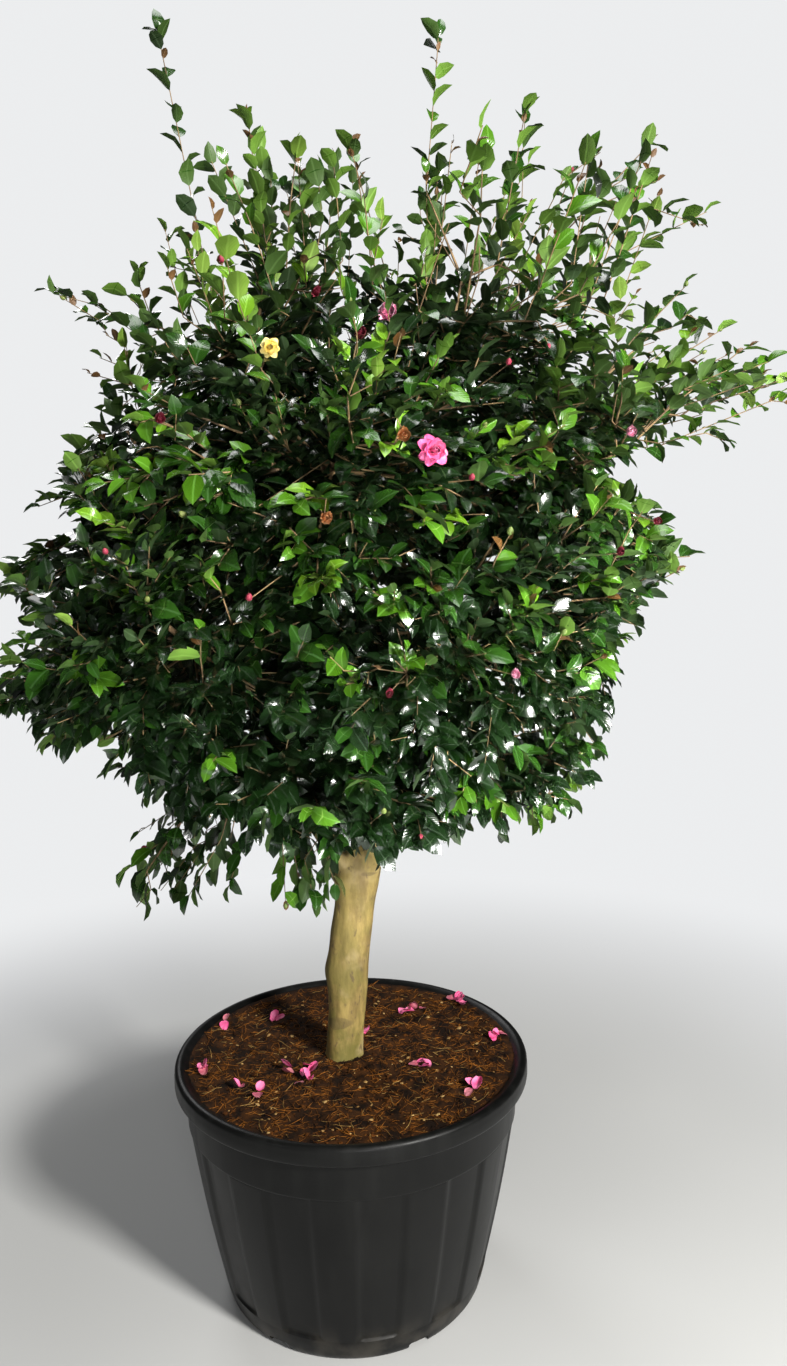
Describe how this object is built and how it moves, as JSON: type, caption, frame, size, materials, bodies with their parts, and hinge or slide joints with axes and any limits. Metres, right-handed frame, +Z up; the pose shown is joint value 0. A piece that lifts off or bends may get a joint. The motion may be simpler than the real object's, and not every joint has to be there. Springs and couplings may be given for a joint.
{
  "type": "potted camellia shrub",
  "caption": "Standard camellia shrub with a bare leaning trunk, a round leafy crown with long young shoots and a few pink blooms, in a fluted black nursery pot.",
  "frame": {"origin": "centre of the pot's flat underside, where it stands on the ground", "axes": "+Z up along the trunk, -Y towards the plant's front, +X to the right as seen from the front"},
  "size_m": [1.5625, 1.2783, 2.3566],
  "materials": {
    "pot_plastic": "moulded charcoal black, soft sheen, dusty and lightly scratched",
    "compost": "loose damp bark and coir fibre",
    "bark": "smooth pale tan bark with olive algae",
    "foliage": "glossy evergreen leaves, fresh green on the young shoots",
    "blossom": "soft thin pink petals"
  },
  "bodies": {
    "root": {"pot": "pot_plastic", "soil": "compost", "trunk": "bark", "stem_right": "bark", "stem_left": "bark", "stem_back": "bark", "bough_low_front": "bark", "bough_low_right": "bark", "bough_low_back_right": "bark", "bough_low_back_left": "bark", "bough_low_left": "bark", "bough_middle_front_left": "bark", "bough_middle_front_right": "bark", "bough_middle_right": "bark", "bough_middle_back_right": "bark", "bough_middle_back_left": "bark", "bough_middle_left": "bark", "bough_upper_front": "bark", "bough_upper_right": "bark", "bough_upper_back_right": "bark", "bough_upper_back_left": "bark", "bough_upper_left": "bark", "bough_top_front_left": "bark", "bough_top_front_right": "bark", "bough_top_back_right": "bark", "bough_top_back_left": "bark", "foliage_low_front": "foliage", "foliage_low_right": "foliage", "foliage_low_back_right": "foliage", "foliage_low_back_left": "foliage", "foliage_low_left": "foliage", "foliage_middle_front_left": "foliage", "foliage_middle_front_right": "foliage", "foliage_middle_right": "foliage", "foliage_middle_back_right": "foliage", "foliage_middle_back_left": "foliage", "foliage_middle_left": "foliage", "foliage_upper_front": "foliage", "foliage_upper_right": "foliage", "foliage_upper_back_right": "foliage", "foliage_upper_back_left": "foliage", "foliage_upper_left": "foliage", "foliage_top_front_left": "foliage", "foliage_top_front_right": "foliage", "foliage_top_back_right": "foliage", "foliage_top_back_left": "foliage"}
  },
  "joints": []
}
